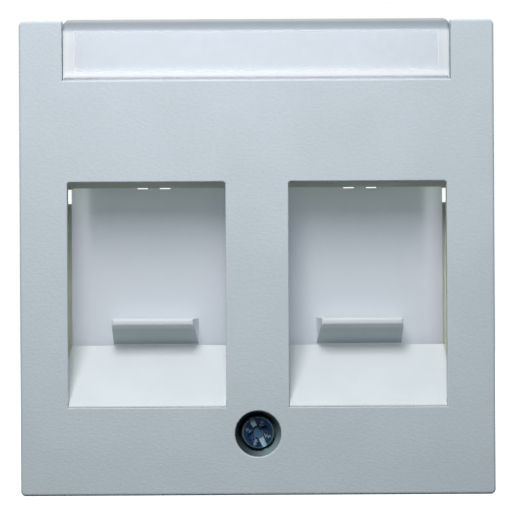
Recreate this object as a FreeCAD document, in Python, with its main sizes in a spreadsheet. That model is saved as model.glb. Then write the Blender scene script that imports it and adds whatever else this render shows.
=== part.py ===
import FreeCAD, Part
import os
import re
import Sketcher

# Frame: +Z up, the front face looks along -Y, the rear rim lies in the plane Y = 0.
# The origin is the middle of the rear rim. All lengths are millimetres, angles are degrees.
SIZES = (
    ("plate_width", "55", "face plate, side to side"),
    ("plate_height", "55", "face plate, bottom to top"),
    ("plate_depth", "12.5", "front face to rear rim"),
    ("front_wall", "2.2", "thickness of the front wall"),
    ("skirt_wall", "1.4", "thickness of the skirt behind the edges"),
    ("corner_radius", "0.6", "rounding of the four upright corners"),
    ("edge_round", "0.35", "rounding of the front edge"),
    ("side_margin", "5.55", "plate edge to port opening"),
    ("port_bridge", "7.3", "bar between the two port openings"),
    ("top_margin", "18.7", "plate's top edge to the top of a port"),
    ("bottom_margin", "10.2", "plate's bottom edge to the bottom of a port"),
    ("port_lip", "0.8", "thickness of the lip at the sides of a port"),
    ("side_relief", "1.65", "widening of a port behind its lip, on each side"),
    ("port_corner", "0.3", "rounding of a port's upper corners"),
    ("port_round", "0.15", "rounding of the front edges of the ports and the funnel"),
    ("collar_depth", "3.1", "front face to the rear end of the bars above and below a port"),
    ("collar_wall", "1", "thickness of the bars above and below a port"),
    ("ceiling_draft", "0.35", "drop of the port's top face over the collar's depth"),
    ("label_margin", "5", "plate edge to label recess"),
    ("label_height", "6.9", "label recess, up to the plate's top edge"),
    ("label_depth", "2.6", "front face to the floor of the label recess"),
    ("label_floor", "1.2", "thickness of the walls round the label recess"),
    ("label_bevel", "0.2", "bevel of the recess's lower front edge"),
    ("screw_rise", "7.1", "plate's bottom edge to the screw"),
    ("mouth_diameter", "5.4", "screw funnel at the front face"),
    ("seat_diameter", "4.1", "screw funnel at the seat of the head"),
    ("seat_depth", "3.2", "front face to the seat of the head"),
    ("boss_diameter", "6.8", "screw boss behind the front wall"),
    ("boss_web", "1.6", "wall under the head of the screw"),
    ("screw_hole", "2.8", "clearance hole through the boss"),
    ("rib_wall", "0.9", "rib from the boss down to the skirt"),
    ("rim_clear", "1", "rear rim to the back of the carrier"),
    ("carrier_gap", "0.3", "carrier to the inside of the skirt"),
    ("carrier_wall", "1.2", "walls in front of and behind a shutter"),
    ("carrier_foot", "1.2", "port's bottom to the carrier's bottom edge"),
    ("tunnel_wall", "1", "walls of the tunnel behind a port"),
    ("fit_gap", "0.1", "gap between pieces that fit together and stay put"),
    ("slide_gap", "0.12", "gap round a shutter in its channel"),
    ("snap_catch", "0.3", "hold of a snap ridge on the carrier"),
    ("snap_length", "8", "length of a snap ridge"),
    ("snap_spacing", "24", "between the two snap ridges of one side"),
    ("snap_end", "0.2", "rear rim to the end of a snap ridge"),
    ("ramp_height", "6.95", "port's bottom to the top of the ramp"),
    ("ramp_wall", "1.3", "upright thickness of the ramp"),
    ("ramp_tip", "0.15", "upright land at the front end of the ramp"),
    ("ramp_inset", "0.15", "front face to the front end of the ramp"),
    ("ramp_gap", "0.04", "ramp to the sides and the bottom of the port"),
    ("cheek_wall", "1", "side walls under the ramp"),
    ("leaf_thickness", "1.2", "shutter leaf"),
    ("leaf_side_lap", "1", "shutter past each side of the port"),
    ("leaf_top_lap", "2.6", "closed shutter above the port"),
    ("leaf_bottom_lap", "1.1", "closed shutter below the ramp's top"),
    ("guide_lip", "1.4", "shutter's edge to the jack window behind it"),
    ("corner_gap_width", "1.5", "opening beside the shutter's upper outer corner"),
    ("corner_gap_height", "2.55", "opening beside the shutter's upper outer corner"),
    ("slit_width", "1.4", "slits beside the tongue at the shutter's top"),
    ("slit_spacing", "2.8", "between the middles of the two slits"),
    ("slit_depth", "2.4", "slit, down from the shutter's top edge"),
    ("grip_width", "10.5", "finger grip at the leaf"),
    ("grip_nose_width", "9.75", "finger grip at its front edge"),
    ("grip_height", "3.2", "finger grip at the leaf"),
    ("grip_nose_height", "0.75", "finger grip at its front edge"),
    ("grip_nose_drop", "0.05", "top of the grip at the leaf to its front edge"),
    ("grip_reach", "4.8", "leaf to the front edge of the grip"),
    ("grip_shift", "0.25", "middle of the grip from the shutter's middle, towards the other port"),
    ("grip_rise", "0.15", "ramp's top to the foot of the grip"),
    ("grip_round", "0.3", "rounding of the grip's front edges"),
    ("window_gap", "0.08", "label window to the walls of its recess"),
    ("window_pane", "0.9", "front pane of the label window"),
    ("window_wall", "0.8", "side walls of the label window"),
    ("window_proud", "0.2", "label window above the plate's top edge"),
    ("window_corner", "0.9", "rounding of the window's upper corners"),
    ("window_round", "0.5", "rounding of the window's front edges"),
    ("hook_height", "3", "snap hook of the window, along its side wall"),
    ("hook_catch", "0.35", "barb of the snap hook"),
    ("hook_tip", "1", "length of the barb"),
    ("hook_play", "0.5", "room for the hook to bend inwards"),
    ("strip_gap", "0.1", "label strip to the walls of the window"),
    ("strip_thickness", "0.25", "label strip"),
    ("head_diameter", "3.8", "head of the screw"),
    ("head_height", "1.6", "head of the screw"),
    ("head_round", "0.25", "rounding of the head's rim"),
    ("shank_diameter", "2.1", "plain shank inside the plate"),
    ("thread_diameter", "2.5", "threaded end behind the rim"),
    ("thread_length", "10.9", "threaded end behind the rim"),
    ("tip_bevel", "0.4", "bevel at the screw's tip"),
    ("drive_angle", "27.4", "turn of the slot from upright"),
    ("slot_width", "0.7", "slot across the head"),
    ("slot_depth", "0.7", "slot across the head"),
    ("cross_length", "2.5", "cross recess, tip to tip"),
    ("cross_width", "0.7", "wings of the cross recess"),
    ("cross_depth", "1", "cross recess"),
    ("cut_over", "1", "how far a cut runs past the face that it opens"),
)

# Named places, as formulas of the sizes. Heights count from the rear rim towards the front.
HALF_WIDTH = "(plate_width / 2)"
TOP_EDGE = "(plate_height / 2)"
INNER_HALF_WIDTH = "(plate_width / 2 - skirt_wall)"
INNER_TOP = "(plate_height / 2 - skirt_wall)"
WALL_BACK = "(plate_depth - front_wall)"
WALL_MIDDLE = "(plate_depth - front_wall / 2)"
PORT_WIDTH = "((plate_width - 2 * side_margin - port_bridge) / 2)"
PORT_MIDDLE = f"(({PORT_WIDTH} + port_bridge) / 2)"
PORT_TOP = "(plate_height / 2 - top_margin)"
PORT_BOTTOM = "(bottom_margin - plate_height / 2)"
COLLAR_END = "(plate_depth - collar_depth)"
LABEL_HALF_WIDTH = "(plate_width / 2 - label_margin)"
LABEL_BOTTOM = "(plate_height / 2 - label_height)"
LABEL_FLOOR = "(plate_depth - label_depth)"
LABEL_BACK = "(plate_depth - label_depth - label_floor)"
SCREW_LEVEL = "(screw_rise - plate_height / 2)"
HEAD_SEAT = "(plate_depth - seat_depth)"
CHANNEL_BACK = "(rim_clear + carrier_wall)"
LEAF_BACK = "(rim_clear + carrier_wall + slide_gap)"
LEAF_FRONT = f"({LEAF_BACK} + leaf_thickness)"
CHANNEL_FRONT = f"({LEAF_FRONT} + slide_gap)"
CARRIER_FRONT = f"({CHANNEL_FRONT} + carrier_wall)"
TUNNEL_FRONT = "(plate_depth - front_wall - fit_gap)"
TUNNEL_HALF_WIDTH = f"({PORT_WIDTH} / 2 + side_relief)"
TUNNEL_TOP = f"({PORT_TOP} + collar_wall + fit_gap)"
CARRIER_HALF_WIDTH = f"({INNER_HALF_WIDTH} - carrier_gap)"
CARRIER_TOP = f"({INNER_TOP} - carrier_gap)"
CARRIER_BOTTOM = f"({PORT_BOTTOM} - carrier_foot)"
RAMP_FOOT = f"({PORT_BOTTOM} + ramp_gap)"
RAMP_START = f"({RAMP_FOOT} + ramp_tip)"
RAMP_TOP = f"({PORT_BOTTOM} + ramp_height)"
RAMP_FRONT = "(plate_depth - ramp_inset)"
LEAF_HALF_WIDTH = f"({PORT_WIDTH} / 2 + leaf_side_lap)"
LEAF_TOP = f"({PORT_TOP} + leaf_top_lap)"
LEAF_BOTTOM = f"({RAMP_TOP} - leaf_bottom_lap)"
GRIP_FOOT = f"({RAMP_TOP} + grip_rise)"
WINDOW_HALF_WIDTH = f"({LABEL_HALF_WIDTH} - window_gap)"
WINDOW_BOTTOM = f"({LABEL_BOTTOM} + window_gap)"
WINDOW_TOP = f"({TOP_EDGE} + window_proud)"
HOOK_LEVEL = f"(({WINDOW_BOTTOM} + {TOP_EDGE}) / 2)"

SIDES = (("left", -1), ("right", 1))

doc = FreeCAD.newDocument("wall_plate")
sheet = doc.addObject("Spreadsheet::Sheet", "Sizes")
for row, (alias, amount, meaning) in enumerate(SIZES, start=1):
    sheet.set(f"A{row}", meaning)
    sheet.set(f"B{row}", amount)
    sheet.setAlias(f"B{row}", alias)
doc.recompute()


def bound(formula):
    """The formula with each size's name pointing at its cell in the sheet."""
    return re.sub(r"[a-z_]+", lambda word: f"Sizes.{word.group()}", formula)


def value(formula):
    """The number that a formula gives with the sizes in the sheet."""
    return float(sheet.evalExpression(bound(formula)))


def new_body(name):
    """An empty body whose label is the name of its piece."""
    body = doc.addObject("PartDesign::Body", name)
    body.Label = name
    return body


def new_sketch(body, name, plane, offset, rise="0"):
    """A sketch on one of the body's planes, moved along the plane's normal and up in the plane."""
    sketch = body.newObject("Sketcher::SketchObject", name)
    support = next(item for item in body.Origin.OriginFeatures if item.Role == plane)
    sketch.AttachmentSupport = [(support, "")]
    sketch.MapMode = "FlatFace"
    sketch.setExpression("AttachmentOffset.Base.z", bound(offset))
    sketch.setExpression("AttachmentOffset.Base.y", bound(rise))
    return sketch


def tie(sketch, kind, corner, formula):
    """Hold the start of a line at a distance from the sketch's origin."""
    if formula == "0":
        axis = -2 if kind == "DistanceX" else -1
        sketch.addConstraint(Sketcher.Constraint("PointOnObject", corner, 1, axis))
        return
    rule = Sketcher.Constraint(kind, -1, 1, corner, 1, value(formula))
    number = sketch.addConstraint(rule)
    sketch.setExpression(f"Constraints[{number}]", bound(formula))


def outline(sketch, corners):
    """A closed outline of straight lines through corners, each a pair of formulas."""
    points = [FreeCAD.Vector(value(across), value(up), 0) for across, up in corners]
    count = len(points)
    for index in range(count):
        sketch.addGeometry(Part.LineSegment(points[index], points[(index + 1) % count]), False)
    for index in range(count):
        sketch.addConstraint(Sketcher.Constraint("Coincident", index, 2, (index + 1) % count, 1))
    for index, (across, up) in enumerate(corners):
        tie(sketch, "DistanceX", index, across)
        tie(sketch, "DistanceY", index, up)
    return sketch


def rectangle(sketch, left, right, bottom, top):
    """An upright rectangle between two sides, a bottom and a top."""
    return outline(sketch, ((left, bottom), (right, bottom), (right, top), (left, top)))


def circle(sketch, diameter):
    """A circle round the sketch's origin."""
    round_line = Part.Circle(FreeCAD.Vector(), FreeCAD.Vector(0, 0, 1), value(diameter) / 2)
    sketch.addGeometry(round_line, False)
    sketch.addConstraint(Sketcher.Constraint("Coincident", 0, 3, -1, 1))
    number = sketch.addConstraint(Sketcher.Constraint("Diameter", 0, value(diameter)))
    sketch.setExpression(f"Constraints[{number}]", bound(diameter))
    return sketch


def pad(body, sketch, length, both_ways=False):
    """Add the sketch's outline, pushed along its normal."""
    feature = body.newObject("PartDesign::Pad", sketch.Name + "_pad")
    feature.Profile = sketch
    feature.Midplane = both_ways
    feature.setExpression("Length", bound(length))
    sketch.Visibility = False
    return feature


def pocket(body, sketch, length, both_ways=False, towards_front=False):
    """Cut the sketch's outline out of the body, and make sure that it cuts."""
    doc.recompute()
    before = body.Shape.Volume
    feature = body.newObject("PartDesign::Pocket", sketch.Name + "_cut")
    feature.Profile = sketch
    feature.Midplane = both_ways
    feature.Reversed = towards_front
    feature.setExpression("Length", bound(length))
    doc.recompute()
    if not body.Shape.Volume < before:
        raise RuntimeError(f"{sketch.Name} cuts nothing")
    return feature


def dress_edges(body, name, kind, size, chosen):
    """Round or bevel the edges of the body's last feature that the test picks."""
    doc.recompute()
    base = body.Tip
    edges = [f"Edge{number}" for number, edge in enumerate(base.Shape.Edges, start=1) if chosen(edge)]
    if not edges:
        raise RuntimeError(f"{name} finds no edge")
    feature = body.newObject(f"PartDesign::{kind}", name)
    feature.Base = (base, edges)
    feature.setExpression("Radius" if kind == "Fillet" else "Size", bound(size))
    return feature


def round_edges(body, name, radius, chosen):
    """Round the edges that the test picks."""
    return dress_edges(body, name, "Fillet", radius, chosen)


def bevel_edges(body, name, size, chosen):
    """Bevel the edges that the test picks, equally on both faces."""
    return dress_edges(body, name, "Chamfer", size, chosen)


def runs_along(edge, axis):
    """Whether an edge is a straight line along one axis, 0 to 2."""
    if edge.Curve.TypeId != "Part::GeomLine":
        return False
    return abs(abs(edge.Curve.Direction[axis]) - 1) < 1e-6


def lies_at(edge, axis, place):
    """Whether all of an edge lies at one place along an axis, 0 to 2."""
    box = edge.BoundBox
    low = (box.XMin, box.YMin, box.ZMin)[axis]
    high = (box.XMax, box.YMax, box.ZMax)[axis]
    return abs(low - place) < 1e-4 and abs(high - place) < 1e-4


def lies_within(edge, half_width, bottom, top):
    """Whether all of an edge lies between two sides, a bottom and a top."""
    box = edge.BoundBox
    across = max(box.XMax, -box.XMin) < half_width + 1e-4
    return across and box.ZMin > bottom - 1e-4 and box.ZMax < top + 1e-4


def make_face_plate():
    """The painted moulding: front wall, skirt, ports, label recess and screw boss."""
    body = new_body("face_plate")
    front = -value("plate_depth")

    sketch = new_sketch(body, "plate_block", "XZ_Plane", "0")
    rectangle(sketch, f"-{HALF_WIDTH}", HALF_WIDTH, f"-{TOP_EDGE}", TOP_EDGE)
    pad(body, sketch, "plate_depth")
    round_edges(body, "plate_corners", "corner_radius", lambda edge: runs_along(edge, 1))
    round_edges(body, "plate_front_edge", "edge_round", lambda edge: lies_at(edge, 1, front))

    sketch = new_sketch(body, "plate_hollow", "XZ_Plane", "0")
    rectangle(sketch, f"-{INNER_HALF_WIDTH}", INNER_HALF_WIDTH, f"-{INNER_TOP}", INNER_TOP)
    pocket(body, sketch, WALL_BACK, towards_front=True)

    add_label_recess(body)
    for name, side in SIDES:
        add_port(body, name, side)
    add_screw_boss(body)
    for name, side in SIDES:
        for level in (-1, 1):
            add_snap_ridge(body, f"{name}_{'low' if level < 0 else 'high'}_ridge", side, level)

    half_width = value(f"{PORT_MIDDLE} + {PORT_WIDTH} / 2")
    bottom = value(f"{SCREW_LEVEL} - mouth_diameter / 2")
    top = value(PORT_TOP)
    round_edges(body, "port_front_edges", "port_round",
                lambda edge: lies_at(edge, 1, front) and lies_within(edge, half_width, bottom, top))
    return body


def add_label_recess(body):
    """The shallow recess at the top edge, with a floor behind it and slots for the window's hooks."""
    bed_half_width = f"({LABEL_HALF_WIDTH} + label_floor)"
    sketch = new_sketch(body, "label_bed", "XZ_Plane", LABEL_BACK)
    rectangle(sketch, f"-{bed_half_width}", bed_half_width, f"{LABEL_BOTTOM} - label_floor",
              "plate_height / 2 - skirt_wall / 2")
    pad(body, sketch, f"{WALL_MIDDLE} - {LABEL_BACK}")

    sketch = new_sketch(body, "label_recess", "XZ_Plane", "plate_depth")
    rectangle(sketch, f"-{LABEL_HALF_WIDTH}", LABEL_HALF_WIDTH, LABEL_BOTTOM, f"{TOP_EDGE} + cut_over")
    pocket(body, sketch, "label_depth")
    front = -value("plate_depth")
    bottom = value(LABEL_BOTTOM)
    bevel_edges(body, "label_lower_edge", "label_bevel",
                lambda edge: lies_at(edge, 1, front) and lies_at(edge, 2, bottom))

    for name, side in SIDES:
        sketch = new_sketch(body, f"{name}_hook_slot", "XZ_Plane", LABEL_FLOOR)
        inner = f"{side} * ({WINDOW_HALF_WIDTH} - window_wall - hook_play)"
        outer = f"{side} * ({WINDOW_HALF_WIDTH} + fit_gap)"
        half_slot = "(hook_height / 2 + fit_gap)"
        rectangle(sketch, inner, outer, f"{HOOK_LEVEL} - {half_slot}", f"{HOOK_LEVEL} + {half_slot}")
        pocket(body, sketch, "label_floor + cut_over")


def add_port(body, name, side):
    """One port opening with a drafted top face, a thin lip at its sides and bars above and below behind it."""
    middle = f"{side} * {PORT_MIDDLE}"
    half_collar = f"({PORT_WIDTH} / 2 + collar_wall)"
    sketch = new_sketch(body, f"{name}_collar", "XZ_Plane", COLLAR_END)
    rectangle(sketch, f"{middle} - {half_collar}", f"{middle} + {half_collar}",
              f"{PORT_BOTTOM} - collar_wall", f"{PORT_TOP} + collar_wall")
    pad(body, sketch, f"{WALL_MIDDLE} - {COLLAR_END}")

    sketch = new_sketch(body, f"{name}_port", "YZ_Plane", middle)
    before = "-(plate_depth + cut_over)"
    behind = f"-({COLLAR_END} - cut_over)"
    low_top = f"{PORT_TOP} - ceiling_draft"
    outline(sketch, ((before, PORT_BOTTOM), (before, PORT_TOP), ("-plate_depth", PORT_TOP),
                     (f"-{COLLAR_END}", low_top), (behind, low_top), (behind, PORT_BOTTOM)))
    pocket(body, sketch, PORT_WIDTH, both_ways=True)
    sides = [value(f"{middle} {sign} {PORT_WIDTH} / 2") for sign in "-+"]
    level = value(low_top)
    top = value(PORT_TOP)
    round_edges(body, f"{name}_port_corners", "port_corner",
                lambda edge: any(lies_at(edge, 0, place) for place in sides)
                and lies_within(edge, value(HALF_WIDTH), level, top))

    sketch = new_sketch(body, f"{name}_side_relief", "YZ_Plane", middle)
    rectangle(sketch, "-(plate_depth - port_lip)", behind, PORT_BOTTOM, f"{low_top} - port_corner / 2")
    pocket(body, sketch, f"2 * {TUNNEL_HALF_WIDTH}", both_ways=True)


def add_screw_boss(body):
    """The boss behind the front wall, its rib, and the funnel with the hole for the screw."""
    boss_end = f"({HEAD_SEAT} - boss_web)"
    sketch = new_sketch(body, "screw_boss", "XZ_Plane", boss_end, SCREW_LEVEL)
    circle(sketch, "boss_diameter")
    pad(body, sketch, f"{WALL_MIDDLE} - {boss_end}")

    sketch = new_sketch(body, "boss_rib", "XZ_Plane", boss_end)
    rectangle(sketch, "-rib_wall / 2", "rib_wall / 2", "skirt_wall / 2 - plate_height / 2", SCREW_LEVEL)
    pad(body, sketch, f"{WALL_MIDDLE} - {boss_end}")

    sketch = new_sketch(body, "screw_funnel", "YZ_Plane", "0", SCREW_LEVEL)
    before = "-(plate_depth + cut_over)"
    behind = f"-({boss_end} - cut_over)"
    outline(sketch, ((before, "0"), (before, "mouth_diameter / 2"), ("-plate_depth", "mouth_diameter / 2"),
                     (f"-{HEAD_SEAT}", "seat_diameter / 2"), (f"-{HEAD_SEAT}", "screw_hole / 2"),
                     (behind, "screw_hole / 2"), (behind, "0")))
    doc.recompute()
    volume = body.Shape.Volume
    feature = body.newObject("PartDesign::Groove", "screw_funnel_cut")
    feature.Profile = sketch
    feature.ReferenceAxis = (sketch, ["H_Axis"])
    feature.Angle = 360
    doc.recompute()
    if not body.Shape.Volume < volume:
        raise RuntimeError("the screw funnel cuts nothing")


def add_snap_ridge(body, name, side, level):
    """A ridge on the inside of the skirt, flat towards the carrier and sloped towards the rim."""
    sketch = new_sketch(body, name, "XY_Plane", f"{level} * snap_spacing / 2")
    rooted = f"{side} * ({INNER_HALF_WIDTH} + skirt_wall / 2)"
    tip = f"{side} * ({CARRIER_HALF_WIDTH} - snap_catch)"
    flat = "-(rim_clear - fit_gap)"
    outline(sketch, ((rooted, flat), (tip, flat), (f"{side} * {INNER_HALF_WIDTH}", "-snap_end"),
                     (rooted, "-snap_end")))
    pad(body, sketch, "snap_length", both_ways=True)


def slope(height):
    """The level of the ramp's face at a height above the rear rim."""
    rise = f"({RAMP_TOP} - {RAMP_START})"
    run = f"({RAMP_FRONT} - {CHANNEL_FRONT})"
    return f"({RAMP_START} + {rise} * ({RAMP_FRONT} - {height}) / {run})"


def make_shutter_carrier():
    """The white moulding behind the plate: tunnels, ramps, shutter channels and jack windows."""
    body = new_body("shutter_carrier")
    sketch = new_sketch(body, "carrier_frame", "XZ_Plane", "rim_clear")
    rectangle(sketch, f"-{CARRIER_HALF_WIDTH}", CARRIER_HALF_WIDTH, CARRIER_BOTTOM, CARRIER_TOP)
    pad(body, sketch, f"{CARRIER_FRONT} - rim_clear")
    for name, side in SIDES:
        add_tunnel(body, name, f"{side} * {PORT_MIDDLE}")
    for name, side in SIDES:
        add_channel(body, name, f"{side} * {PORT_MIDDLE}", side)

    sketch = new_sketch(body, "boss_notch", "XZ_Plane", TUNNEL_FRONT, SCREW_LEVEL)
    circle(sketch, "boss_diameter + 2 * fit_gap")
    pocket(body, sketch, f"{TUNNEL_FRONT} - rim_clear + cut_over")
    return body


def add_tunnel(body, name, middle):
    """The tunnel behind a port, with the hollow ramp on its floor."""
    outer_half_width = f"({TUNNEL_HALF_WIDTH} + tunnel_wall)"
    sketch = new_sketch(body, f"{name}_tunnel", "XZ_Plane", f"{CARRIER_FRONT} - carrier_wall / 2")
    rectangle(sketch, f"{middle} - {outer_half_width}", f"{middle} + {outer_half_width}",
              RAMP_FOOT, f"{TUNNEL_TOP} + tunnel_wall")
    pad(body, sketch, f"{TUNNEL_FRONT} - {CARRIER_FRONT} + carrier_wall / 2")

    sketch = new_sketch(body, f"{name}_mouth", "YZ_Plane", middle)
    outline(sketch, ((f"-{RAMP_FRONT}", RAMP_START), (f"-{CHANNEL_FRONT}", RAMP_TOP),
                     (f"-{CHANNEL_BACK}", RAMP_TOP), (f"-{CHANNEL_BACK}", TUNNEL_TOP),
                     (f"-{RAMP_FRONT}", TUNNEL_TOP)))
    pocket(body, sketch, f"2 * {TUNNEL_HALF_WIDTH}", both_ways=True)

    collar_room = f"({COLLAR_END} - fit_gap)"
    sketch = new_sketch(body, f"{name}_collar_room", "XZ_Plane", TUNNEL_FRONT)
    rectangle(sketch, f"{middle} - {TUNNEL_HALF_WIDTH}", f"{middle} + {TUNNEL_HALF_WIDTH}",
              f"{RAMP_FOOT} - cut_over", TUNNEL_TOP)
    pocket(body, sketch, f"{TUNNEL_FRONT} - {collar_room}")

    sketch = new_sketch(body, f"{name}_ramp_hollow", "YZ_Plane", middle)
    outline(sketch, ((f"-{collar_room}", f"{RAMP_FOOT} - cut_over"),
                     (f"-{collar_room}", f"{slope(collar_room)} - ramp_wall"),
                     (f"-{CARRIER_FRONT}", f"{slope(CARRIER_FRONT)} - ramp_wall"),
                     (f"-{CARRIER_FRONT}", f"{RAMP_FOOT} - cut_over")))
    pocket(body, sketch, f"2 * ({TUNNEL_HALF_WIDTH} - cheek_wall)", both_ways=True)

    rooted = f"({collar_room} - ramp_wall / 2)"
    parts = (
        ("ramp_lip", RAMP_FRONT, f"{PORT_WIDTH} - 2 * ramp_gap"),
        ("ramp_wings", "(plate_depth - port_lip - fit_gap)", f"2 * ({TUNNEL_HALF_WIDTH} - fit_gap)"),
    )
    for part, start, width in parts:
        sketch = new_sketch(body, f"{name}_{part}", "YZ_Plane", middle)
        outline(sketch, ((f"-{start}", RAMP_FOOT), (f"-{start}", slope(start)), (f"-{rooted}", slope(rooted)),
                         (f"-{rooted}", f"{slope(rooted)} - ramp_wall"),
                         (f"-{collar_room}", f"{slope(collar_room)} - ramp_wall"),
                         (f"-{collar_room}", RAMP_FOOT)))
        pad(body, sketch, width, both_ways=True)


def add_channel(body, name, middle, side):
    """The channel that a shutter runs in, open at the top, the openings behind it and a cored foot."""
    half_channel = f"({LEAF_HALF_WIDTH} + slide_gap)"
    sketch = new_sketch(body, f"{name}_channel", "XZ_Plane", CHANNEL_FRONT)
    rectangle(sketch, f"{middle} - {half_channel}", f"{middle} + {half_channel}",
              f"{LEAF_BOTTOM} - slide_gap", f"{CARRIER_TOP} + cut_over")
    pocket(body, sketch, "leaf_thickness + 2 * slide_gap")

    half_window = f"({LEAF_HALF_WIDTH} - guide_lip)"
    sketch = new_sketch(body, f"{name}_jack_window", "XZ_Plane", CHANNEL_BACK)
    rectangle(sketch, f"{middle} - {half_window}", f"{middle} + {half_window}",
              f"{LEAF_BOTTOM} + guide_lip", f"{LEAF_TOP} - guide_lip")
    pocket(body, sketch, "carrier_wall + cut_over")

    sketch = new_sketch(body, f"{name}_corner_gap", "XZ_Plane", CHANNEL_FRONT)
    inner = f"({middle} + {side} * {LEAF_HALF_WIDTH})"
    rectangle(sketch, inner, f"{inner} + {side} * corner_gap_width",
              f"{TUNNEL_TOP} - corner_gap_height", TUNNEL_TOP)
    pocket(body, sketch, f"{CHANNEL_FRONT} - rim_clear + cut_over")

    sketch = new_sketch(body, f"{name}_foot_core", "XZ_Plane", f"{CARRIER_FRONT} - carrier_wall")
    rectangle(sketch, f"{middle} - {half_window}", f"{middle} + {half_window}",
              f"{CARRIER_BOTTOM} + carrier_wall", f"{LEAF_BOTTOM} - slide_gap - carrier_wall")
    pocket(body, sketch, f"{CARRIER_FRONT} - carrier_wall - rim_clear + cut_over")


def make_shutter(name, side):
    """A sliding shutter, closed: leaf, lofted finger grip and the two slits of its tongue."""
    body = new_body(f"{name}_shutter")
    body.setExpression("Placement.Base.x", bound(f"{side} * {PORT_MIDDLE}"))
    sketch = new_sketch(body, f"{name}_leaf", "XZ_Plane", LEAF_BACK)
    rectangle(sketch, f"-{LEAF_HALF_WIDTH}", LEAF_HALF_WIDTH, LEAF_BOTTOM, LEAF_TOP)
    pad(body, sketch, "leaf_thickness")

    grip_top = f"({GRIP_FOOT} + grip_height)"
    nose_top = f"({grip_top} - grip_nose_drop)"
    middle = f"-({side}) * grip_shift"
    base = new_sketch(body, f"{name}_grip_base", "XZ_Plane", LEAF_FRONT)
    rectangle(base, f"{middle} - grip_width / 2", f"{middle} + grip_width / 2", GRIP_FOOT, grip_top)
    nose = new_sketch(body, f"{name}_grip_nose", "XZ_Plane", f"{LEAF_FRONT} + grip_reach")
    rectangle(nose, f"{middle} - grip_nose_width / 2", f"{middle} + grip_nose_width / 2",
              f"{nose_top} - grip_nose_height", nose_top)
    doc.recompute()
    grip = body.newObject("PartDesign::AdditiveLoft", f"{name}_grip")
    grip.Profile = base
    grip.Sections = [nose]
    grip.Ruled = True
    front = -value(f"{LEAF_FRONT} + grip_reach")
    round_edges(body, f"{name}_grip_edges", "grip_round", lambda edge: lies_at(edge, 1, front))

    for slit, way in SIDES:
        sketch = new_sketch(body, f"{name}_{slit}_slit", "XZ_Plane", LEAF_FRONT)
        middle = f"{way} * slit_spacing / 2"
        rectangle(sketch, f"{middle} - slit_width / 2", f"{middle} + slit_width / 2",
                  f"{LEAF_TOP} - slit_depth", f"{LEAF_TOP} + cut_over")
        pocket(body, sketch, "leaf_thickness + cut_over")
    return body


def make_label_window():
    """The clear cover: a shallow tray that stands on the recess floor, with two snap hooks."""
    body = new_body("label_window")
    front = -value("plate_depth")
    top = value(WINDOW_TOP)
    sketch = new_sketch(body, "window_block", "XZ_Plane", LABEL_FLOOR)
    rectangle(sketch, f"-{WINDOW_HALF_WIDTH}", WINDOW_HALF_WIDTH, WINDOW_BOTTOM, WINDOW_TOP)
    pad(body, sketch, "label_depth")
    round_edges(body, "window_corners", "window_corner",
                lambda edge: runs_along(edge, 1) and edge.BoundBox.ZMin > top - 1e-4)
    round_edges(body, "window_front_edges", "window_round", lambda edge: lies_at(edge, 1, front))

    sketch = new_sketch(body, "window_tray", "XZ_Plane", LABEL_FLOOR)
    half_tray = f"({WINDOW_HALF_WIDTH} - window_wall)"
    rectangle(sketch, f"-{half_tray}", half_tray, f"{WINDOW_BOTTOM} + window_wall",
              f"{WINDOW_TOP} - window_wall")
    pocket(body, sketch, "label_depth - window_pane", towards_front=True)

    for name, side in SIDES:
        sketch = new_sketch(body, f"{name}_hook", "XY_Plane", HOOK_LEVEL)
        outer = f"{side} * {WINDOW_HALF_WIDTH}"
        inner = f"{side} * ({WINDOW_HALF_WIDTH} - window_wall)"
        barb = f"{side} * ({WINDOW_HALF_WIDTH} + hook_catch)"
        rooted = f"-({LABEL_FLOOR} + window_wall / 2)"
        catch = f"-({LABEL_BACK} - fit_gap)"
        end = f"-({LABEL_BACK} - fit_gap - hook_tip)"
        outline(sketch, ((inner, rooted), (inner, end), (outer, end), (barb, catch), (outer, catch),
                         (outer, rooted)))
        pad(body, sketch, "hook_height", both_ways=True)
    return body


def make_label_strip():
    """The paper strip that lies on the recess floor inside the window's tray."""
    body = new_body("label_strip")
    sketch = new_sketch(body, "strip_outline", "XZ_Plane", LABEL_FLOOR)
    half_strip = f"({WINDOW_HALF_WIDTH} - window_wall - strip_gap)"
    inset = "(window_wall + strip_gap)"
    rectangle(sketch, f"-{half_strip}", half_strip, f"{WINDOW_BOTTOM} + {inset}", f"{WINDOW_TOP} - {inset}")
    pad(body, sketch, "strip_thickness")
    return body


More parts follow.
